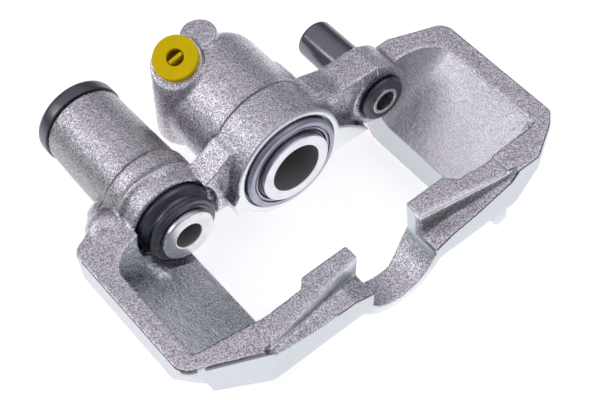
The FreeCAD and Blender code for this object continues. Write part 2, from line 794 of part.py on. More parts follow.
nodes = [make_housing(), make_piston()]
nodes += make_cylinder_rubber() + make_long_guide() + make_short_guide()
nodes += [make_port_plug()] + make_bleed_screw()
for node in nodes:
    node.Label = node.Name
doc.recompute()

for item in doc.Objects:
    if "Invalid" in item.State or "Error" in item.State:
        raise RuntimeError(f"{item.Name} failed: {item.State}")
for node in nodes:
    if node.Shape.isNull() or not node.Shape.isValid():
        raise RuntimeError(f"{node.Label} has no valid shape")
    if len(node.Shape.Solids) != 1:
        raise RuntimeError(f"{node.Label} has {len(node.Shape.Solids)} solids")

os.makedirs("parts", exist_ok=True)
for node in nodes:
    node.Shape.exportStep(f"parts/{node.Label}.step")
    box = node.Shape.BoundBox
    print(f"{node.Label:24s} {node.Shape.Volume / 1000:8.2f} cm3  x {box.XMin:.1f} {box.XMax:.1f}  "
          f"y {box.YMin:.1f} {box.YMax:.1f}  z {box.ZMin:.1f} {box.ZMax:.1f}")
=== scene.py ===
import json
import math

import bmesh
import bpy
import numpy as np
from mathutils import Matrix, Vector


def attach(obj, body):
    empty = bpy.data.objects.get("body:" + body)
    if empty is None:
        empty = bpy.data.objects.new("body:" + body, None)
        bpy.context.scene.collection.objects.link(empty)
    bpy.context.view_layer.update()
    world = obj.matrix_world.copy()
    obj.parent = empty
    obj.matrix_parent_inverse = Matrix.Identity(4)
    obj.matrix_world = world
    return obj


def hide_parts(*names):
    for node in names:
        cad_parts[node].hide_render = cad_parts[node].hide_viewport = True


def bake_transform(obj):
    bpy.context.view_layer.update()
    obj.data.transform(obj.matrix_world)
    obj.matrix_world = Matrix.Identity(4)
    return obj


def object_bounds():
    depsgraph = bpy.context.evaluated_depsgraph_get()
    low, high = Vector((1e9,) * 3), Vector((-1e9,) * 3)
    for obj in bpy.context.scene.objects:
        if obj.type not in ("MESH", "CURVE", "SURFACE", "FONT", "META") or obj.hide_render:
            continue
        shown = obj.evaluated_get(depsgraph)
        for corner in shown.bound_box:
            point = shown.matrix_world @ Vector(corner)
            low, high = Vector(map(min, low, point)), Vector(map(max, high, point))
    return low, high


# Looks of the brake caliper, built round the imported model. Lengths are in millimetres, and MM turns them
# into Blender's metres. A place that names an axis along Y is (x, z).
# Frame: origin at the centre of the piston's open end, -Y towards the fingers, +Z up.

MM = 0.001
PI = math.pi

# Sizes and places in the CAD model.
HUB = (0, 0)
HUB_RAD = 28.9
FACE_Y = 4.5
FACE_HALF_WIDTH = 48
PARTING_Y = 27
BOOT_SEAT_RAD = 25.6
CUP_RAD = 12.8
CUP_LEN = 46
GUIDE_X = 57
GUIDE_Z = -4.5
LONG = (-GUIDE_X, GUIDE_Z)
LONG_BORE = 6.6
COLLAR_RAD = 22.6
COLLAR_END = 41
TUBE_FACE_Y = 21.5
TUBE_RAD = 20.4
TUBE_END = 89.6
SHORT = (GUIDE_X, GUIDE_Z)
SHORT_BORE = 5.3
EAR_BORE = 11
PORT_TILT = Vector((-0.33, -0.25, 0.91)).normalized()
PORT_SEAT = Vector((-14.5, 65.8, 29.8))
BLEED_X = 18
BLEED_Y = 57
BLEED_RAD = 8
BLEED_FACE_Z = -28.4
DISC_Z = 96.8
DISC_RAD = 131.5
WINDOW_X = 56.3
POCKET_END_Y = 14.5
RIM_Z = 5.2
PAD_Y = -50
BEAM_INNER_Y = -54
BEAM_FRONT_Y = -70
# From here outwards an arm's surface is its outer side.
ARM_SIDE_X = 97
# Outwards from BEAM_START the beam's top falls from BEAM_TOP_Z, by BEAM_FALL a millimetre, as far as the
# step up to the rim at BEAM_STEP.
BEAM_START = 50
BEAM_STEP = 66.4
BEAM_TOP_Z = 4.77
BEAM_FALL = 0.0775

# Centre and half sizes of the fillets between the left arm and the long guide's tube.
LUMPS = (
    ((-84, 30, 0), (10, 9, 8.5)),
    ((-80, 38, -6), (8, 10, 9)),
)
# Place along Y, height and width of the uneven rings on the long guide's collar.
RINGS = ((25.2, -1.4, 1.1), (28.4, 1.0, 1.3), (31.6, -0.9, 1.0))
# On the left the step is evened out between BEAM_START and LEVEL_END. LEVEL_SLOPE is the slope of the new
# top, and nothing below LEVEL_BASE_Z moves.
LEVEL_END = 76
LEVEL_SLOPE = 0.0165
LEVEL_BASE_Z = 2
# Where the clearance for the bellows meets the left pocket, it is closed down to GROOVE_RAD, apart from
# GROOVE_KEEP of its depth past that radius.
GROOVE_RAD = 18.2
GROOVE_KEEP = 0.12

# How the casting is made: its mesh size, and the rounds of smoothing.
VOXEL = 0.55
ROUNDING_TURNS = 44
EVEN_TURNS = 5
RELIEF_TURNS = 30
CREASE_DEPTH = 0.3
CAST_LEVELS = 4
# Name, grain and depth of the unevenness of the cast skin.
CAST_SKIN = (("waves", 6, 0.30), ("sand", 1.1, 0.20))

# Angle between the points of a rounding, segments of a turned piece, and its sharp edges' least angle.
ROUND_STEP = 0.35
LATHE_SEGMENTS = 144
LATHE_SHARP = 50
FLOOR_SIZE = 6000
FLOOR_GAP = 0.5

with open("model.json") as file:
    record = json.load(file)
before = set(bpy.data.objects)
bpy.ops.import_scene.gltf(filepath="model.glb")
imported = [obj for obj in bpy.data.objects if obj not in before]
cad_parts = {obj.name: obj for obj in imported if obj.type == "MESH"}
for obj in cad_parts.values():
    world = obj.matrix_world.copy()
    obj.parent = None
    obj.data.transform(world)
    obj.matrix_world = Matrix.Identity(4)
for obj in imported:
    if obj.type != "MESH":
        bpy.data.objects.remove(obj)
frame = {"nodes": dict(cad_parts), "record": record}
cad_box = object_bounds()


# ---------------------------------------------------------------- materials

class Nodes:
    """A material's node tree, with a principled shader to start from."""

    def __init__(self, name, **values):
        self.material = bpy.data.materials.new(name)
        self.material.use_nodes = True
        self.tree = self.material.node_tree
        self.shader = self.tree.nodes["Principled BSDF"]
        for socket, value in values.items():
            self.shader.inputs[socket.replace("_", " ")].default_value = value
        self.place = self.add("ShaderNodeTexCoord").outputs["Object"]

    def add(self, kind, **settings):
        node = self.tree.nodes.new(kind)
        for key, value in settings.items():
            setattr(node, key, value)
        return node

    def link(self, source, target):
        self.tree.links.new(source, target)

    def noise(self, size, detail=2.0, rough=0.5, stretch=None):
        """Noise whose grains are about size millimetres across."""
        node = self.add("ShaderNodeTexNoise")
        node.inputs["Scale"].default_value = 1 / (size * MM)
        node.inputs["Detail"].default_value = detail
        node.inputs["Roughness"].default_value = rough
        place = self.place
        if stretch:
            mapping = self.add("ShaderNodeMapping")
            mapping.inputs["Scale"].default_value = stretch
            self.link(place, mapping.inputs["Vector"])
            place = mapping.outputs["Vector"]
        self.link(place, node.inputs["Vector"])
        return node.outputs["Fac"]

    def attribute(self, name):
        return self.add("ShaderNodeAttribute", attribute_name=name).outputs["Fac"]

    def math(self, operation, a, b):
        node = self.add("ShaderNodeMath", operation=operation)
        for socket, value in zip(node.inputs, (a, b)):
            if isinstance(value, (int, float)):
                socket.default_value = value
            else:
                self.link(value, socket)
        return node.outputs[0]

    def ramp(self, fac, *stops):
        node = self.add("ShaderNodeValToRGB")
        elements = node.color_ramp.elements
        while len(elements) < len(stops):
            elements.new(0.5)
        for element, (place, color) in zip(elements, stops):
            element.position = place
            element.color = (*color, 1) if isinstance(color, tuple) else (color, color, color, 1)
        self.link(fac, node.inputs["Fac"])
        return node.outputs["Color"]

    def mix(self, fac, a, b, blend="MIX"):
        node = self.add("ShaderNodeMix", data_type="RGBA", blend_type=blend)
        sockets = {s.identifier: s for s in node.inputs}
        for key, value in (("Factor_Float", fac), ("A_Color", a), ("B_Color", b)):
            if isinstance(value, tuple):
                sockets[key].default_value = (*value, 1)
            elif isinstance(value, (int, float)):
                sockets[key].default_value = value
            else:
                self.link(value, sockets[key])
        return next(s for s in node.outputs if s.identifier == "Result_Color")

    def bump(self, height, depth):
        """Bump of about depth millimetres."""
        node = self.add("ShaderNodeBump")
        node.inputs["Strength"].default_value = 1
        node.inputs["Distance"].default_value = depth * MM
        self.link(height, node.inputs["Height"])
        return node.outputs["Normal"]

    def use(self, **sources):
        for socket, source in sources.items():
            self.link(source, self.shader.inputs[socket.replace("_", " ")])
        return self.material


def zinc_cast():
    """Bright zinc on a sand casting: grainy, with painted shade in the hollows, smooth and pale where it
    was machined. The casting's attributes say where each look is, painted light and shade included."""
    m = Nodes("zinc_cast", Metallic=1.0)
    machined, wall, pale, relief, pocket, outline, shaded_crease, painted_side_shade = (m.attribute(name) for name in (
        "machined", "wall", "pale", "relief", "pocket", "outline", "shaded_crease", "painted_side_shade"))
    smooth = m.math("MAXIMUM", machined, wall)

    sand = m.noise(0.60, 2, 0.55)
    cast = m.ramp(sand, (0.40, (0.34, 0.32, 0.38)), (0.49, (0.68, 0.67, 0.71)), (0.58, (1.0, 0.96, 1.0)))
    # The pockets are evened out to a pale grey, more in the right one: partly a calmer skin, partly
    # painted light.
    even = m.ramp(pocket, (0.1, 0.0), (0.5, 0.5), (1.0, 0.3))
    cast = m.mix(even, cast, (0.97, 0.97, 0.98))
    stains = m.ramp(m.noise(25, 3, 0.6), (0.35, (0.88, 0.89, 0.90)), (0.65, (1.0, 0.98, 1.0)))
    cast = m.mix(1.0, cast, stains, "MULTIPLY")
    # Edges that stand out are lightened: partly wear of the zinc, partly a painted highlight.
    cast = m.mix(m.ramp(relief, (0.5, 0.0), (1.0, 0.35)), cast, (1.0, 0.97, 1.0))
    # Painted shade: the left pocket is tinted darker and greener.
    painted_pocket_shade = m.mix(1.0, cast, (0.92, 1.0, 0.98), "MULTIPLY")
    cast = m.mix(m.ramp(pocket, (0.6, 0.0), (1.0, 0.75)), cast, painted_pocket_shade)
    # Painted shade: the sides of the tube and the low flanks are darkened.
    cast = m.mix(painted_side_shade, cast, m.mix(1.0, cast, (0.58, 0.58, 0.57), "MULTIPLY"))
    # Painted shade: the creases are darkened almost to black.
    cast = m.mix(shaded_crease, cast, (0.1, 0.1, 0.11))

    color = m.mix(machined, cast, (0.88, 0.91, 0.91))
    # Walls: a smooth tone, partly the finer skin, lightened where pale is high as painted light.
    color = m.mix(wall, color, m.mix(pale, (0.62, 0.66, 0.68), (0.82, 0.85, 0.86)))
    # Painted shade: the colour darkens in the hollows, where the relief is low, but not on machined faces.
    hollow = m.ramp(relief, (0.05, 0.75), (0.44, 0.0))
    hollow = m.math("MULTIPLY", hollow, m.math("SUBTRACT", 1.0, machined))
    color = m.mix(hollow, color, (0.12, 0.13, 0.15))
    # Painted reflection: a dark line along the frame's outer and inner edges.
    color = m.mix(outline, color, (0.10, 0.10, 0.12))

    rough = m.mix(smooth, m.ramp(m.noise(1.2, 2), (0.3, 0.20), (0.7, 0.34)), (0.30, 0.30, 0.30))
    rough = m.mix(m.ramp(pocket, (0.1, 0.0), (0.5, 1.0), (1.0, 0.0)), rough, (0.44, 0.44, 0.44))

    grain = m.math("ADD", sand, m.math("MULTIPLY", m.noise(1.7, 2), 1.2))
    calm = m.math("MAXIMUM", smooth, m.ramp(pocket, (0.1, 0.0), (0.5, 0.3), (1.0, 0.3)))
    grain = m.math("MULTIPLY", grain, m.math("SUBTRACT", 1.0, calm))
    lines = m.math("MULTIPLY", m.noise(0.5, 2, 0.5, (0.06, 1, 1)), m.math("MULTIPLY", smooth, 0.05))
    return m.use(Base_Color=color, Roughness=rough, Normal=m.bump(m.math("ADD", grain, lines), 0.24))


def steel(name, color, rough):
    """Turned steel: fine rings, with faint smears in its gloss."""
    m = Nodes(name, Metallic=1.0)
    smears = m.noise(6, 3, 0.6)
    tone = m.mix(m.ramp(smears, (0.35, 0.0), (0.7, 1.0)), color, tuple(0.86 * c for c in color))
    gloss = m.ramp(smears, (0.3, rough), (0.75, rough + 0.10))
    rings = m.noise(0.35, 1, 0.5, (0.05, 1, 0.05))
    return m.use(Base_Color=tone, Roughness=gloss, Normal=m.bump(rings, 0.004))


def rubber(name, color, rough, depth):
    """Moulded rubber: dark, with a soft uneven sheen."""
    m = Nodes(name, IOR=1.75, Specular_IOR_Level=0.9, Specular_Tint=(0.88, 0.90, 1.0, 1))
    patches = m.noise(5, 3, 0.6)
    tone = m.mix(m.ramp(patches, (0.3, 0.0), (0.7, 1.0)), color, tuple(1.7 * c for c in color))
    gloss = m.ramp(patches, (0.3, rough), (0.7, rough + 0.12))
    return m.use(Base_Color=tone, Roughness=gloss, Normal=m.bump(m.noise(0.35, 2), depth))


def plastic(name, color, rough, depth, **values):
    """Moulded plastic with faint flow marks."""
    m = Nodes(name, **values)
    flow = m.noise(7, 2, 0.5)
    tone = m.mix(m.ramp(flow, (0.3, 0.0), (0.7, 1.0)), color, tuple(0.9 * c for c in color))
    gloss = m.ramp(flow, (0.3, rough), (0.7, rough + 0.08))
    return m.use(Base_Color=tone, Roughness=gloss, Normal=m.bump(m.noise(0.5, 2), depth))


MATERIALS = {
    "zinc_cast": zinc_cast(),
    "piston_steel": steel("piston_steel", (0.88, 0.87, 0.93), 0.20),
    "ring_steel": steel("ring_steel", (0.50, 0.48, 0.58), 0.34),
    "sleeve_steel": steel("sleeve_steel", (0.86, 0.86, 0.89), 0.22),
    "rubber": rubber("rubber", (0.018, 0.019, 0.027), 0.22, 0.02),
    "cap_black": plastic("cap_black", (0.010, 0.010, 0.018), 0.14, 0.003,
                         IOR=2.0, Specular_IOR_Level=1.0, Specular_Tint=(0.90, 0.87, 1.0, 1)),
    "plug_yellow": plastic("plug_yellow", (1.0, 0.73, 0.0), 0.45, 0.01, Specular_IOR_Level=0.1),
    "bore_grey": plastic("bore_grey", (0.28, 0.28, 0.29), 0.5, 0.004),
    # The plug's hollow floor: a darker, browner yellow, painted shade.
    "plug_shade": plastic("plug_shade", (0.34, 0.19, 0.004), 0.5, 0.01),
}


def paint(obj, name):
    obj.data.materials.clear()
    obj.data.materials.append(MATERIALS[name])


# ---------------------------------------------------------------- mesh helpers

def object_from(bm, name):
    """An object with the bmesh's mesh."""
    mesh = bpy.data.meshes.new(name)
    bm.to_mesh(mesh)
    bm.free()
    obj = bpy.data.objects.new(name, mesh)
    bpy.context.scene.collection.objects.link(obj)
    return obj


def finish_mesh(obj, material, sharp=40):
    """Gives a piece its material and smooth shading, with edges past sharp degrees kept."""
    paint(obj, material)
    obj.data.shade_smooth()
    if sharp:
        obj.data.set_sharp_from_angle(angle=math.radians(sharp))


def rounded(points, closed):
    """The outline, rounded to about the third number's radius at each point that has one."""
    made = []
    count = len(points)
    for i, point in enumerate(points):
        here = Vector(point[:2])
        radius = point[2] if len(point) > 2 else 0
        if not radius or (not closed and i in (0, count - 1)):
            made.append(here)
            continue
        before = Vector(points[i - 1][:2]) - here
        after = Vector(points[(i + 1) % count][:2]) - here
        half = before.angle(after) / 2
        cut = min(radius / math.tan(half), before.length * 0.49, after.length * 0.49)
        start = here + before.normalized() * cut
        end = here + after.normalized() * cut
        steps = max(2, round((PI - 2 * half) / ROUND_STEP) + 1)
        for k in range(steps + 1):
            t = k / steps
            made.append(start.lerp(here, t).lerp(here.lerp(end, t), t))
    return made


def lathe(name, points, material, centre=HUB, turn=None):
    """A turned piece. Points are (radius, distance along the axis, optional rounding) in millimetres.
    The axis is +Y through centre (x, z), unless turn gives another placement of the Z axis."""
    closed = points[0][0] > 0
    outline = rounded(points, closed)
    placement = turn
    if placement is None:
        foot = Vector((centre[0], 0, centre[1]))
        placement = Matrix.Translation(foot) @ Matrix.Rotation(-PI / 2, 4, "X")
    bm = bmesh.new()
    rings = []
    for radius, along in outline:
        if radius < 1e-6:
            rings.append([bm.verts.new((0, 0, along))])
            continue
        angles = (2 * PI * k / LATHE_SEGMENTS for k in range(LATHE_SEGMENTS))
        places = ((radius * math.cos(a), radius * math.sin(a), along) for a in angles)
        rings.append([bm.verts.new(place) for place in places])
    pairs = list(zip(rings, rings[1:]))
    if closed:
        pairs.append((rings[-1], rings[0]))
    for low, high in pairs:
        for k in range(LATHE_SEGMENTS):
            corners = [low[k % len(low)], low[(k + 1) % len(low)]]
            corners += [high[(k + 1) % len(high)], high[k % len(high)]]
            bm.faces.new(list(dict.fromkeys(corners)))
    bmesh.ops.recalc_face_normals(bm, faces=bm.faces)
    bmesh.ops.transform(bm, matrix=Matrix.Scale(MM, 4) @ placement, verts=bm.verts)
    obj = object_from(bm, name)
    finish_mesh(obj, material, LATHE_SHARP)
    return obj


def line_bore(obj, centre, radius):
    """Gives the inside of a turned piece, a cup's floor included, a grey duller than its outside."""
    obj.data.materials.append(MATERIALS["bore_grey"])
    for face in obj.data.polygons:
        place = face.center / MM
        inside = math.hypot(place.x - centre[0], place.z - centre[1]) < radius
        floor = place.y > CUP_LEN - 6 and face.normal.y < -0.5
        if floor or inside and abs(face.normal.y) < 0.5:
            face.material_index = 1


def stand_in(obj, body, *nodes):
    """obj rides on body and is shown in place of the nodes."""
    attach(obj, body)
    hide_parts(*nodes)


def apply_modifiers(obj):
    graph = bpy.context.evaluated_depsgraph_get()
    made = bpy.data.meshes.new_from_object(obj.evaluated_get(graph))
    obj.modifiers.clear()
    obj.data = made


# ---------------------------------------------------------------- the casting

def positions(mesh):
    co = np.empty(len(mesh.vertices) * 3)
    mesh.vertices.foreach_get("co", co)
    return co.reshape(-1, 3)


def normals(mesh):
    no = np.empty(len(mesh.vertices) * 3)
    mesh.vertex_normals.foreach_get("vector", no)
    return no.reshape(-1, 3)


def neighbour_mean(mesh):
    """A function that gives each vertex the mean of its neighbours."""
    count = len(mesh.vertices)
    edges = np.empty(len(mesh.edges) * 2, int)
    mesh.edges.foreach_get("vertices", edges)
    a, b = edges.reshape(-1, 2).T
    degree = np.bincount(a, minlength=count) + np.bincount(b, minlength=count)

    def mean(values):
        total = np.empty_like(values)
        for k in range(3):
            total[:, k] = np.bincount(a, values[b, k], count) + np.bincount(b, values[a, k], count)
        return total / degree[:, None]

    return mean


def around(points, centre):
    """Distance of each point from the Y axis through centre, in millimetres."""
    return np.hypot(points[:, 0] - centre[0], points[:, 2] - centre[1])


def smooth_step(start, end, values):
    """0 before start, 1 after end, and a smooth rise between them. Start may be the larger one."""
    t = np.clip((values - start) / (end - start), 0, 1)
    return t * t * (3 - 2 * t)


def ridge(values, centre, width):
    """1 where values are at centre, and falling to 0 within about two widths of it."""
    return np.exp(-((values - centre) / width) ** 2)


def machined_mask(p, n):
    """1 where the casting was machined, 0 where it is as cast."""
    x, y, z = p.T
    front = (np.abs(y - FACE_Y) < 0.45) & (np.abs(x) < FACE_HALF_WIDTH)
    cylinder = (around(p, HUB) < BOOT_SEAT_RAD + 0.3) & (y > 2) & (y < 70)
    long_bore = (around(p, LONG) < 17.8) & (y > TUBE_FACE_Y - 0.5)
    short_bore = (around(p, SHORT) < EAR_BORE + 0.3) & (y > 5)
    tube_face = (y > TUBE_END - 0.4)
    pads = (n[:, 1] > 0.9) & (y < PAD_Y + 1) & (y > PAD_Y - 0.6)
    bleed = (np.hypot(x - BLEED_X, y - BLEED_Y) < BLEED_RAD + 0.2) & (z < BLEED_FACE_Z + 0.4)
    return (front | cylinder | long_bore | short_bore | tube_face | pads | bleed).astype(float)


def flank_mask(p):
    """1 on the flanks that rise from the frame's ledges to its fingers."""
    x, y, z = p.T
    beam = (y > BEAM_FRONT_Y + 0.8) & (y < BEAM_INNER_Y - 2)
    return beam & (np.abs(x) < BEAM_STEP + 0.6) & (z > -12)


def low_flank(p):
    """Rises from 0 at the top of the flanks to 1 lower down."""
    return flank_mask(p) * smooth_step(2.6, 1.2, p[:, 2])


def wall_mask(p, n):
    """1 on the upright faces of the frame, where the mould left a finer skin, but not low on the right
    flank. Their smooth, paler tone is partly that skin and partly painted light."""
    x, y, z = p.T
    window = (np.abs(np.abs(x) - WINDOW_X) < 0.6) & (y < 14)
    side = (np.abs(x) > ARM_SIDE_X + 1) & (y < 24)
    places = (y < PAD_Y + 1) | window | side
    return places * (1 - low_flank(p) * (x > 5)) * smooth_step(0.6, 0.4, n[:, 2])


def painted_light_mask(p):
    """Rises towards the lower edge of the frame's front, and is 1 on the upper part of the flanks. Where
    it
    is high the walls are painted paler: painted light low on the front, a painted highlight on the flanks.
    """
    x, y, z = p.T
    low = smooth_step(-12, -32, z) * (0.3 + 0.7 * smooth_step(-52, -36, x))
    return (y < PAD_Y + 1) * np.maximum(flank_mask(p) * smooth_step(-1, 2, z), low)


def painted_side_shade_mask(p, n):
    """Rises on the sides of the long guide's tube and low on the flanks, where the colour is darkened as
    painted shade.
    """
    x, y, z = p.T
    tube = (around(p, LONG) < COLLAR_RAD + 0.9) & (y > 26) & (y < TUBE_END - 0.4)
    sides = tube * smooth_step(0.3, 0.9, np.abs(n[:, 0]))
    return np.maximum(sides, low_flank(p) * smooth_step(0.8, 0.6, n[:, 2]))


def pocket_mask(p):
    """1 in the left pocket and 0.5 in the right one, which looks at the light. The material paints shade
    on the left pocket, tinted darker and greener, and light on the right one, evened more to a pale grey.
    """
    x, y, z = p.T
    wide = (np.abs(x) > WINDOW_X + 0.4) & (np.abs(x) < ARM_SIDE_X + 0.2)
    inside = wide & (np.hypot(x, z - DISC_Z) < DISC_RAD + 0.9)
    deep = inside & (y > PAD_Y - 1.5) & (y < POCKET_END_Y + 0.5) & (z < RIM_Z - 0.6)
    return deep * np.where(x < 0, 1.0, 0.5)


def painted_edge_line_mask(p, n, relief):
    """Rises along the outer edge of the frame's top face, along the pockets' edge towards the beam, and
    high on the front of the left arm. There the colour is darkened: a painted dark reflection on the
    rounded edges."""
    x, y, z = p.T
    on_side = np.abs(x) > ARM_SIDE_X
    outer = (on_side & (y < 20) | (y < PAD_Y - 2)) & (z > -14)
    inner = (np.abs(x) > WINDOW_X) & ~on_side & (y > -58) & (y < -44) & (z > -2)
    outward = np.where(on_side, n[:, 0] * np.sign(x), -n[:, 1])
    outward = np.where(inner, n[:, 1], outward)
    slant = smooth_step(0.94, 0.85, n[:, 2]) * smooth_step(0.15, 0.35, n[:, 2])
    edge = (outer | inner) * (1 - flank_mask(p)) * slant
    edge = edge * smooth_step(0.54, 0.60, relief) * smooth_step(0.1, 0.3, outward)
    front = (x < -BEAM_STEP - 0.1) & (y < PAD_Y - 2) & (outward > 0.3)
    return np.maximum(edge, 0.85 * front * smooth_step(2.2, 3.0, z))


def crease_mask(p):
    """1 along the parting line, the collar's end and the step at the right end of the beam. There the
    surface is sunk a little and painted dark as shade.
    """
    x, y, z = p.T
    high = z > -12
    on_hub = (np.abs(around(p, HUB) - HUB_RAD) < 1.6) & high
    on_collar = (np.abs(around(p, LONG) - COLLAR_RAD) < 1.6) & high
    on_beam = (y < PAD_Y - 1) & (y > BEAM_FRONT_Y + 2) & (z > 3)
    around_axes = np.maximum(ridge(y, PARTING_Y, 0.55) * on_hub, ridge(y, COLLAR_END, 0.5) * on_collar)
    return np.maximum(around_axes, ridge(x, BEAM_STEP, 0.45) * on_beam)


def add_lumps(mesh):
    """Joins the casting's free-form fillets and the rim round the bellows to the mesh."""
    bm = bmesh.new()
    bm.from_mesh(mesh)
    for centre, sizes in LUMPS:
        shape = Matrix.Diagonal((*(MM * size for size in sizes), 1))
        place = Matrix.Translation(Vector(centre) * MM) @ shape
        bmesh.ops.create_icosphere(bm, subdivisions=4, radius=1, matrix=place)
    rim = lathe("rim", [
        (19.4, 18.6, 1),
        (21.9, 18.6, 1.2),
        (21.9, 24),
        (19.4, 24),
    ], "zinc_cast", LONG)
    bm.from_mesh(rim.data)
    bpy.data.objects.remove(rim)
    bm.to_mesh(mesh)
    bm.free()


def level_beam(p, n):
    """Evens out the step between the beam's top and the left arm, so that one runs into the other."""
    x, y, z = p.T
    out = np.clip(-x, BEAM_START, LEVEL_END)
    here = (x > -LEVEL_END) & (x < -BEAM_START) & (y < PAD_Y - 0.5)
    falling = BEAM_TOP_Z - (out - BEAM_START) * BEAM_FALL
    height = np.where(out > BEAM_STEP, RIM_Z, falling)
    level = BEAM_TOP_Z + (out - BEAM_START) * LEVEL_SLOPE
    scaled = LEVEL_BASE_Z + (z - LEVEL_BASE_Z) * (level - LEVEL_BASE_Z) / (height - LEVEL_BASE_Z)
    steep = (n[:, 2] > 0.3) | (np.abs(n[:, 0]) > 0.5)
    on_step = (np.abs(out - BEAM_STEP) < 0.8) & steep & (z > 3)
    p[:, 2] = np.where(here & (z > LEVEL_BASE_Z), np.where(on_step, level, scaled), z)


def scale_round(p, centre, factor):
    """Moves each point away from the Y axis through centre, or towards it."""
    p[:, 0] = centre[0] + (p[:, 0] - centre[0]) * factor
    p[:, 2] = centre[1] + (p[:, 2] - centre[1]) * factor


def ring_collar(p):
    """Raises and sinks the uneven rings on the long guide's collar."""
    x, y, z = p.T
    radius = around(p, LONG)
    angle = np.arctan2(z - LONG[1], x - LONG[0])
    along = y + 0.9 * np.sin(2 * angle + 0.6) + 0.4 * np.sin(5 * angle)
    swell = sum(height * ridge(along, place, width) for place, height, width in RINGS)
    on_collar = (np.abs(radius - COLLAR_RAD) < 0.9) & (y > TUBE_FACE_Y + 1) & (y < COLLAR_END - 1)
    scale_round(p, LONG, 1 + swell * on_collar / radius)


def close_groove(p):
    """Leaves only a shallow groove where the clearance for the bellows meets the left pocket.
    Gives the places that it moved."""
    x, y, z = p.T
    radius = around(p, LONG)
    low = (x < -WINDOW_X + 0.5) & (y > -1) & (y < 14) & (z < -8) & (radius > GROOVE_RAD) & (radius < 23)
    scale_round(p, LONG, np.where(low, (GROOVE_RAD + (radius - GROOVE_RAD) * GROOVE_KEEP) / radius, 1))
    return low


def round_off(p, n, mean, cast):
    """Rounds edges a little, and the hollows of the cast skin a lot."""
    for turn in range(ROUNDING_TURNS):
        step = mean(p) - p
        if turn < EVEN_TURNS:
            share = 0.15 + 0.4 * cast
        else:
            hollow = (step * n).sum(1)
            share = 0.55 * cast * smooth_step(0.0, 0.01, hollow)
        p += step * share[:, None]


def relief_of(p, n, mean):
    """How far each point stands out from its surroundings: 0.5 where they are flat."""
    soft = p.copy()
    for _ in range(RELIEF_TURNS):
        soft += (mean(soft) - soft) * 0.6
    return np.clip(0.5 + ((p - soft) * n).sum(1) / 1.2, 0, 1)


def roughen(obj, cast):
    """Pushes the cast skin in and out by the unevenness and the grain of the sand mould."""
    group = obj.vertex_groups.new(name="cast")
    levels = np.round(cast * CAST_LEVELS).astype(int)
    for level in range(1, CAST_LEVELS + 1):
        group.add(np.flatnonzero(levels == level).tolist(), level / CAST_LEVELS, "REPLACE")
    for name, size, depth in CAST_SKIN:
        texture = bpy.data.textures.new(name, "CLOUDS")
        texture.noise_scale = size * MM
        texture.noise_depth = 2
        push = obj.modifiers.new(name, "DISPLACE")
        push.texture = texture
        push.texture_coords = "LOCAL"
        push.strength = depth * MM
        push.mid_level = 0.5
        push.vertex_group = "cast"
    apply_modifiers(obj)


def make_casting():
    """The housing's solid with cast roundings, creases and the grain of the sand mould."""
    source = frame["nodes"]["caliper_housing"]
    obj = bpy.data.objects.new("casting", source.data.copy())
    bpy.context.scene.collection.objects.link(obj)
    obj.data.materials.clear()
    add_lumps(obj.data)
    remesh = obj.modifiers.new("remesh", "REMESH")
    remesh.mode = "VOXEL"
    remesh.voxel_size = VOXEL * MM
    apply_modifiers(obj)

    mesh = obj.data
    p = positions(mesh) / MM
    n = normals(mesh)
    mean = neighbour_mean(mesh)
    machined = machined_mask(p, n)
    wall = wall_mask(p, n)
    pocket = pocket_mask(p)
    level_beam(p, n)
    ring_collar(p)
    groove = close_groove(p)
    pocket[groove] = 1
    cast = 1 - np.maximum(machined, 0.75 * wall)
    round_off(p, n, mean, cast)
    relief = relief_of(p, n, mean)
    relief[groove | (around(p, LONG) < 23) & (p[:, 1] < 23)] = 0.5
    shaded_crease = crease_mask(p) * cast
    p -= n * (CREASE_DEPTH * shaded_crease)[:, None]
    mesh.vertices.foreach_set("co", (p * MM).ravel())
    mesh.update()

    looks = {
        "machined": machined,
        "wall": wall,
        "pale": painted_light_mask(p),
        "relief": relief,
        "pocket": pocket,
        "outline": painted_edge_line_mask(p, normals(mesh), relief),
        "shaded_crease": shaded_crease,
        "painted_side_shade": painted_side_shade_mask(p, n),
    }
    for name, values in looks.items():
        mesh.attributes.new(name, "FLOAT", "POINT").data.foreach_set("value", values.astype(np.float32))
    roughen(obj, cast)
    finish_mesh(obj, "zinc_cast", sharp=None)
    stand_in(obj, "housing", "caliper_housing")


# ---------------------------------------------------------------- turned pieces

def make_piston():
    piston = lathe("piston_body", [
        (0, CUP_LEN),
        (CUP_RAD, CUP_LEN, 1.5),
        (CUP_RAD, 0, 0.5),
        (18.25, 0, 0.5),
        (18.25, 3.2),
        (16.9, 3.2),
        (16.9, 6.4),
        (19, 6.4, 0.4),
        (19, 58, 1.2),
        (0, 58),
    ], "piston_steel")
    line_bore(piston, HUB, CUP_RAD + 0.2)
    stand_in(piston, "piston", "piston")
    ring = lathe("boot_ring", [
        (19.75, 2.9, 0.3),
        (20.8, 2.7, 0.3),
        (20.95, 3.7),
        (21.35, 3.7),
        (21.5, 2.5, 0.2),
        (23.7, 2.5, 0.5),
        (24.6, 3.5, 0.3),
        (24.6, 9),
        (25.52, 9),
        (25.52, 9.9),
        (24.2, 9.9),
        (24.2, 4.1),
        (19.75, 4.1),
    ], "ring_steel")
    stand_in(ring, "housing", "piston_boot_ring")
    boot = lathe("boot", [
        (16.95, 3.9),
        (16.95, 3.35),
        (18.4, 3.45, 0.2),
        (19.1, 3.3, 0.3),
        (19.5, 4.35, 0.3),
        (24.1, 4.4, 0.2),
        (24.1, 6.0, 0.3),
        (20.4, 6.0, 0.3),
        (19.4, 5.2, 0.3),
        (18.9, 3.9, 0.2),
    ], "rubber")
    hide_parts("piston_boot")
    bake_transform(boot)


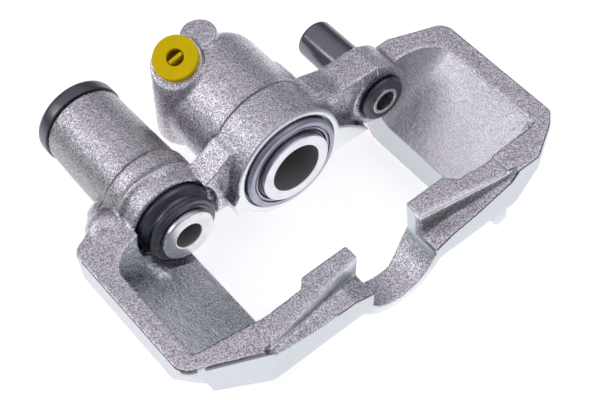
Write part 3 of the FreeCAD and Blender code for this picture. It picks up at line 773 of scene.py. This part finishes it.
def make_long_guide():
    sleeve = lathe("long_sleeve", [
        (LONG_BORE, 5.4, 0.9),
        (13.4, 5.4, 0.8),
        (13.4, 8.0, 0.4),
        (11.2, 8.0),
        (11.2, 11),
        (10.5, 11),
        (10.5, 82, 0.8),
        (LONG_BORE, 82),
    ], "sleeve_steel", LONG)
    line_bore(sleeve, LONG, LONG_BORE + 0.1)
    stand_in(sleeve, "long_sleeve", "long_guide_sleeve")
    bellows = lathe("bellows", [
        (11.25, 8.3, 0.2),
        (14.9, 8.3, 0.4),
        (15.3, 9.0, 0.3),
        (16.8, 9.2, 0.4),
        (17.8, 10.2, 0.4),
        (17.5, 11.3, 0.5),
        (15.0, 12.8, 1.2),
        (15.3, 14.6, 1.5),
        (18.2, 16.4, 0.8),
        (18.9, 17.4, 0.8),
        (18.9, 21.0, 0.8),
        (17.2, 21.6, 0.5),
        (17.2, 23.8),
        (15.4, 23.8),
        (15.4, 21),
        (17.4, 19.6, 0.8),
        (17.2, 18.2, 0.8),
        (13.8, 15.4, 0.8),
        (13.6, 12.2, 0.8),
        (15.6, 11, 0.5),
        (15, 10.4, 0.4),
        (11.25, 10.4),
    ], "rubber", LONG)
    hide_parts("long_guide_bellows")
    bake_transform(bellows)
    cap = lathe("long_cap", [
        (0, TUBE_END + 5),
        (12, TUBE_END + 5),
        (12, TUBE_END - 4),
        (14.4, TUBE_END - 4, 0.6),
        (14.4, TUBE_END + 0.05),
        (TUBE_RAD + 0.75, TUBE_END + 0.05, 0.4),
        (TUBE_RAD + 0.75, TUBE_END + 7.8, 3.2),
        (0, TUBE_END + 7.8),
    ], "rubber", LONG)
    stand_in(cap, "long_cap", "long_guide_rear_cap")


def make_short_guide():
    sleeve = lathe("short_sleeve", [
        (SHORT_BORE, 5.4, 0.5),
        (7, 5.4, 0.4),
        (7, 44, 0.5),
        (SHORT_BORE, 44),
    ], "sleeve_steel", SHORT)
    stand_in(sleeve, "short_sleeve", "short_guide_sleeve")
    bush = lathe("short_bush", [
        (7.03, 6.4, 0.3),
        (10.9, 6.4, 0.7),
        (11.9, 7.4, 0.6),
        (11.9, 8.4, 0.4),
        (10.2, 8.8, 0.3),
        (10.2, 9.2),
        (12.6, 9.4),
        (12.6, 9.78),
        (10.98, 9.78),
        (10.98, 27.1),
        (8.6, 27.1, 0.2),
        (8.2, 35),
        (7.6, 36, 0.3),
        (7.03, 36),
    ], "rubber", SHORT)
    stand_in(bush, "housing", "short_guide_bush")
    cap = lathe("short_cap", [
        (0, 57.8),
        (8.3, 57.8),
        (8.65, 27.2),
        (10.9, 27.2, 0.4),
        (10.9, 28.2, 0.6),
        (10.1, 31, 1.5),
        (9.8, 59.4, 2.2),
        (0, 59.4),
    ], "cap_black", SHORT)
    stand_in(cap, "short_cap", "short_guide_rear_cap")


def make_plug():
    """The yellow plug's flange with a hollow centre, and the hollow's floor painted darker and browner as
    shade.
    """
    spin = PORT_TILT.to_track_quat("Z", "Y").to_matrix().to_4x4()
    placement = Matrix.Translation(PORT_SEAT) @ spin
    flange = lathe("plug_flange", [
        (0, -6),
        (4.2, -6),
        (4.2, 3, 0.35),
        (10.8, 3, 0.7),
        (10.8, 0.05, 0.6),
        (4.95, 0.05),
        (4.95, -9, 0.5),
        (0, -9),
    ], "plug_yellow", turn=placement)
    stand_in(flange, "port_plug", "hose_port_plug")
    floor = lathe("plug_recess", [
        (0, -2.5),
        (4.15, -2.5),
        (4.15, 1.2),
        (4.19, 1.2),
        (4.19, -2.9),
        (0, -2.9),
    ], "plug_shade", turn=placement)
    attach(floor, "port_plug")


def make_plug_bar():
    """The bar across the plug's hollow."""
    bm = bmesh.new()
    bmesh.ops.create_cube(bm, size=1)
    bmesh.ops.scale(bm, vec=(7.6, 1.8, 5.0), verts=bm.verts)
    bmesh.ops.translate(bm, vec=(0, 0, -0.5), verts=bm.verts)
    bmesh.ops.bevel(bm, geom=bm.edges[:], offset=0.25, segments=3, affect="EDGES")
    spin = Vector((0, 0, 1)).rotation_difference(PORT_TILT).to_matrix().to_4x4()
    place = Matrix.Translation(PORT_SEAT) @ spin @ Matrix.Rotation(math.radians(-3), 4, "Z")
    bmesh.ops.transform(bm, matrix=Matrix.Scale(MM, 4) @ place, verts=bm.verts)
    bar = object_from(bm, "plug_bar")
    finish_mesh(bar, "plug_yellow")
    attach(bar, "port_plug")


def paint_nodes():
    """Gives the CAD nodes that stay, and the casting's own, the material of their slot."""
    slots = {part["node"]: part["material_slot"] for part in frame["record"]["subparts"]}
    bushes = ("long_guide_front_bush", "long_guide_rear_bush")
    for node in ("piston_seal", *bushes, "bleed_screw", "bleed_screw_cap", "caliper_housing"):
        materials = frame["nodes"][node].data.materials
        if len(materials) == 0:
            materials.append(None)
        for k in range(len(materials)):
            materials[k] = MATERIALS[slots[node]]


# ---------------------------------------------------------------- stage

def make_floor():
    """A pale floor just under the part, which glows near it and is dimmer further out."""
    low = cad_box[0].z - FLOOR_GAP * MM
    bm = bmesh.new()
    bmesh.ops.create_grid(bm, x_segments=1, y_segments=1, size=FLOOR_SIZE * MM)
    bmesh.ops.translate(bm, vec=(0, 0, low), verts=bm.verts)
    floor = object_from(bm, "floor")
    m = Nodes("floor", Roughness=0.9, Emission_Strength=1.0)
    pale = m.ramp(m.noise(400, 1), (0.3, (0.90, 0.90, 0.90)), (0.7, (0.93, 0.93, 0.93)))
    ball = m.add("ShaderNodeTexGradient", gradient_type="SPHERICAL")
    m.link(m.place, ball.inputs["Vector"])
    glow = m.ramp(ball.outputs["Fac"], (0.66, (0.10, 0.10, 0.11)), (0.76, (0.60, 0.60, 0.60)))
    floor.data.materials.append(m.use(Base_Color=pale, Emission_Color=glow))


def softbox(name, place, size, power):
    """A white area light at place (metres) that faces the object."""
    light = bpy.data.lights.new(name, "AREA")
    light.shape = "RECTANGLE"
    light.size, light.size_y = size
    light.energy = power
    obj = bpy.data.objects.new(name, light)
    obj.location = place
    obj.rotation_euler = (-Vector(place)).to_track_quat("-Z", "Y").to_euler()
    bpy.context.scene.collection.objects.link(obj)


def make_world():
    """A studio that is pale overhead, brighter at the back left and the front right, and dim low down
    and behind the camera."""
    world = bpy.data.worlds.new("studio")
    world.use_nodes = True
    tree = world.node_tree
    direction = tree.nodes.new("ShaderNodeTexCoord").outputs["Generated"]
    color = None
    # Blend, axis, and where the zone starts and where it is full, each with its tone. A place of 0 is
    # opposite to the axis, and 1 is along it.
    zones = (
        ("MIX", (0, 0, 1), (0.64, (0.20, 0.205, 0.22)), (0.92, (0.66, 0.64, 0.69))),
        ("ADD", (-0.65, 0.49, 0.58), (0.84, (0, 0, 0)), (0.99, (0.08, 0.08, 0.08))),
        ("ADD", (0.46, -0.35, 0.81), (0.93, (0, 0, 0)), (0.99, (0.42, 0.44, 0.44))),
        ("MULTIPLY", (-0.32, -0.49, 0.81), (0.90, (1, 1, 1)), (0.98, (0.55, 0.55, 0.56))),
    )
    for blend, axis, (start, outside), (end, inside) in zones:
        along = tree.nodes.new("ShaderNodeVectorMath")
        along.operation = "DOT_PRODUCT"
        along.inputs[1].default_value = Vector(axis).normalized() / 2
        shift = tree.nodes.new("ShaderNodeMath")
        shift.inputs[1].default_value = 0.5
        ramp = tree.nodes.new("ShaderNodeValToRGB")
        ramp.color_ramp.interpolation = "EASE"
        for element, place, tone in zip(ramp.color_ramp.elements, (start, end), (outside, inside)):
            element.position = place
            element.color = (*tone, 1)
        tree.links.new(direction, along.inputs[0])
        tree.links.new(along.outputs["Value"], shift.inputs[0])
        tree.links.new(shift.outputs[0], ramp.inputs["Fac"])
        if color is None:
            color = ramp.outputs["Color"]
            continue
        mix = tree.nodes.new("ShaderNodeMixRGB")
        mix.blend_type = blend
        mix.inputs["Fac"].default_value = 1
        tree.links.new(color, mix.inputs["Color1"])
        tree.links.new(ramp.outputs["Color"], mix.inputs["Color2"])
        color = mix.outputs["Color"]
    background = tree.nodes["Background"]
    tree.links.new(color, background.inputs["Color"])
    bpy.context.scene.world = world


def make_lights():
    softbox("key", (-0.7, 0.55, 0.62), (0.4, 0.4), 1.4)


def make_camera():
    """From above the fingers and the long guide, a little rolled. Its location is in metres."""
    azimuth, elevation, roll = (math.radians(a) for a in (-32.69, 54.23, -7.33))
    camera = bpy.data.objects.new("camera", bpy.data.cameras.new("camera"))
    camera.data.lens = 92.8
    camera.data.sensor_width = 36
    camera.data.clip_start = 0.01
    camera.location = (-0.2264, -0.3521, 0.5564)
    turn = Matrix.Rotation(azimuth, 3, "Z") @ Matrix.Rotation(PI / 2 - elevation, 3, "X")
    camera.rotation_euler = (turn @ Matrix.Rotation(roll, 3, "Z")).to_euler()
    bpy.context.scene.collection.objects.link(camera)
    bpy.context.scene.camera = camera


make_casting()
make_piston()
make_long_guide()
make_short_guide()
make_plug()
make_plug_bar()
paint_nodes()
make_floor()
make_world()
make_lights()
make_camera()
bpy.context.scene.view_settings.view_transform = "Standard"
